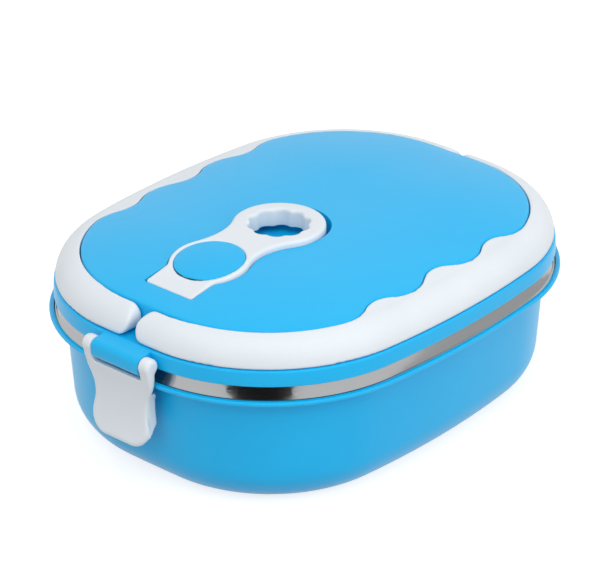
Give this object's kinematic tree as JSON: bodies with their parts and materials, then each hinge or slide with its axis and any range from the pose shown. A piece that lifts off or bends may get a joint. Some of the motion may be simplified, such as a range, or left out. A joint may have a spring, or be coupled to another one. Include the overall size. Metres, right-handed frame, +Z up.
{
  "type": "lunch box",
  "caption": "Rounded lunch box: a steel tray in a moulded shell, and a lid that carries fold-up handles, clip latches, a seal, and a vent lever with a press button.",
  "frame": {"origin": "middle of the base, on the surface that the box stands on", "axes": "+X along the box, away from the front latch; +Y to the far side; +Z up"},
  "size_m": [0.2206, 0.1668, 0.0818],
  "materials": {
    "blue_plastic": "moulded polypropylene, satin gloss",
    "white_plastic": "moulded polypropylene, satin",
    "tray_steel": "pressed stainless sheet, polished",
    "pin_steel": "drawn wire",
    "silicone": "matt food-grade silicone"
  },
  "bodies": {
    "base": {"outer_shell": "blue_plastic", "steel_liner": "tray_steel"},
    "lid": {"lid_shell": "blue_plastic", "lid_top_panel": "blue_plastic", "lid_inner_cover": "white_plastic", "lid_seal": "silicone", "handle_pins": "pin_steel", "front_latch_pin": "pin_steel", "rear_latch_pin": "pin_steel", "vent_lever_pin": "pin_steel"},
    "near_handle": {"near_handle": "white_plastic"},
    "far_handle": {"far_handle": "white_plastic"},
    "front_latch": {"front_latch": "white_plastic"},
    "rear_latch": {"rear_latch": "white_plastic"},
    "vent_lever": {"vent_lever": "white_plastic", "vent_spring": "pin_steel"},
    "vent_button": {"vent_button": "blue_plastic", "vent_plug": "silicone"}
  },
  "joints": [
    {"name": "lid_lift", "type": "slide", "parent": "base", "child": "lid", "axis": [0, 0, 1], "range_m": [0, 0.1]},
    {"name": "near_handle_fold", "type": "hinge", "parent": "lid", "child": "near_handle", "pos_m": [0, -0.00705, 0.06905], "axis": [-1, 0, 0], "range_deg": [0, 90]},
    {"name": "far_handle_fold", "type": "hinge", "parent": "lid", "child": "far_handle", "pos_m": [0, 0.00705, 0.06905], "axis": [1, 0, 0], "range_deg": [0, 90]},
    {"name": "front_latch_swing", "type": "hinge", "parent": "lid", "child": "front_latch", "pos_m": [-0.1069, 0, 0.0595], "axis": [0, 1, 0], "range_deg": [0, 110]},
    {"name": "rear_latch_swing", "type": "hinge", "parent": "lid", "child": "rear_latch", "pos_m": [0.1069, 0, 0.0595], "axis": [0, -1, 0], "range_deg": [0, 110]},
    {"name": "vent_lever_lift", "type": "hinge", "parent": "lid", "child": "vent_lever", "pos_m": [-0.0765, 0, 0.075], "axis": [0, -1, 0], "range_deg": [0, 25]},
    {"name": "vent_button_press", "type": "slide", "parent": "vent_lever", "child": "vent_button", "axis": [0, 0, -1], "range_m": [0, 0.002], "stiffness_N_per_m": 600, "springref_m": -0.002, "deforming": ["vent_spring"]}
  ]
}
